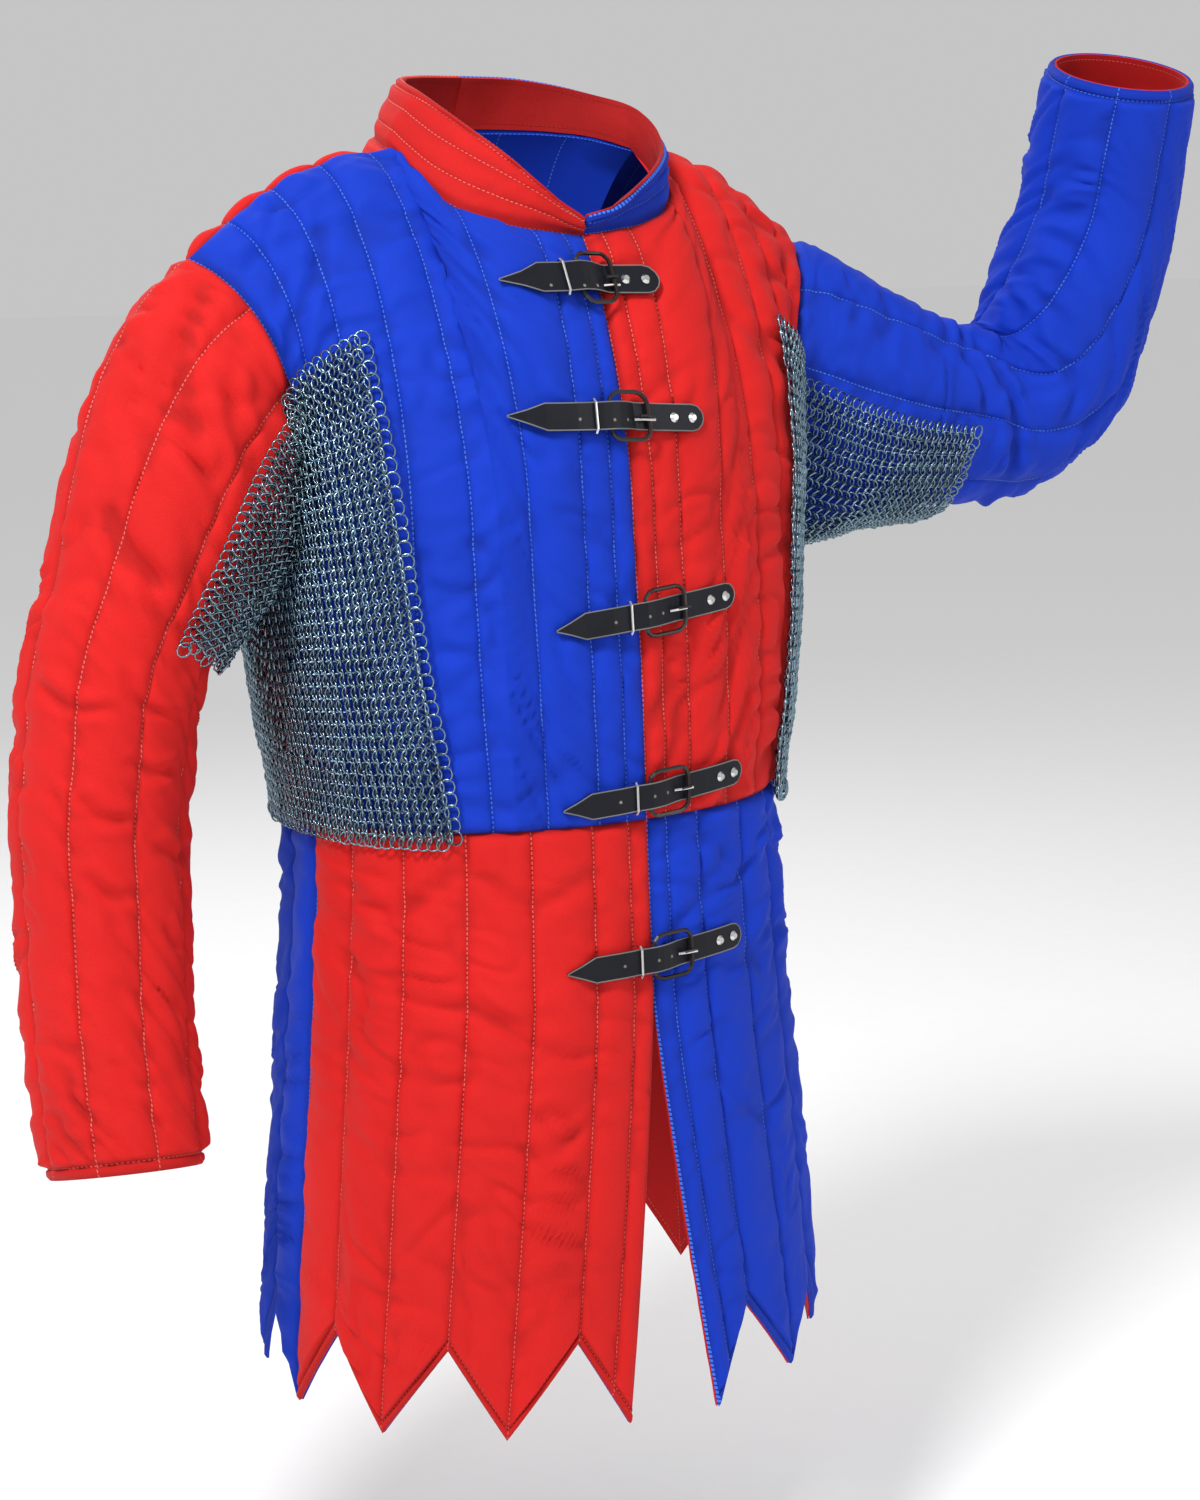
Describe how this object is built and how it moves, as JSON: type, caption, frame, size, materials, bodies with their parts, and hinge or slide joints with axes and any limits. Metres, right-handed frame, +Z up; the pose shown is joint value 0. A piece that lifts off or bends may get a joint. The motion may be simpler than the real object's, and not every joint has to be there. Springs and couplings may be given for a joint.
{
  "type": "gambeson",
  "caption": "Quartered padded gambeson in worn form, with stand collar, dagged skirt, mail at the armpits and buckled straps down the front.",
  "frame": {"origin": "point midway between the wearer's shoulders, at the height of the neck ends of the shoulder seams, where the shoulders carry the garment", "axes": "+X to the wearer's left, +Y to the wearer's back, +Z up"},
  "size_m": [1.0332, 0.3918, 1.018],
  "materials": {
    "cotton_blue": "matt cotton weave, quilted",
    "cotton_red": "matt cotton weave, quilted",
    "cotton_red_inside": "matt cotton weave",
    "mail": "oiled steel rings",
    "leather": "smooth black leather",
    "black_enamel": "black enamel, worn",
    "nickel": "nickel plated"
  },
  "bodies": {
    "root": {"back_left": "cotton_blue", "back_right": "cotton_red", "buckle_frame_1": "black_enamel", "buckle_frame_2": "black_enamel", "buckle_frame_3": "black_enamel", "buckle_frame_4": "black_enamel", "buckle_frame_5": "black_enamel", "chape_1": "leather", "chape_2": "leather", "chape_3": "leather", "chape_4": "leather", "chape_5": "leather", "chest_front_left": "cotton_red", "chest_front_right": "cotton_blue", "collar_left": "cotton_blue", "collar_right": "cotton_red", "keeper_1": "nickel", "keeper_2": "nickel", "keeper_3": "nickel", "keeper_4": "nickel", "keeper_5": "nickel", "lining_collar_left": "cotton_red_inside", "lining_collar_right": "cotton_red_inside", "lining_cuff_left": "cotton_red", "lining_cuff_right": "cotton_blue", "lining_skirt_left": "cotton_red", "lining_skirt_right": "cotton_blue", "mail_left": "mail", "mail_right": "mail", "prong_1": "nickel", "prong_2": "nickel", "prong_3": "nickel", "prong_4": "nickel", "prong_5": "nickel", "rivet_1_1": "nickel", "rivet_1_2": "nickel", "rivet_2_1": "nickel", "rivet_2_2": "nickel", "rivet_3_1": "nickel", "rivet_3_2": "nickel", "rivet_4_1": "nickel", "rivet_4_2": "nickel", "rivet_5_1": "nickel", "rivet_5_2": "nickel", "skirt_back_left": "cotton_red", "skirt_back_right": "cotton_blue", "skirt_front_left": "cotton_blue", "skirt_front_right": "cotton_red", "sleeve_left": "cotton_blue", "sleeve_right": "cotton_red", "strap_1": "leather", "strap_2": "leather", "strap_3": "leather", "strap_4": "leather", "strap_5": "leather"}
  },
  "joints": []
}
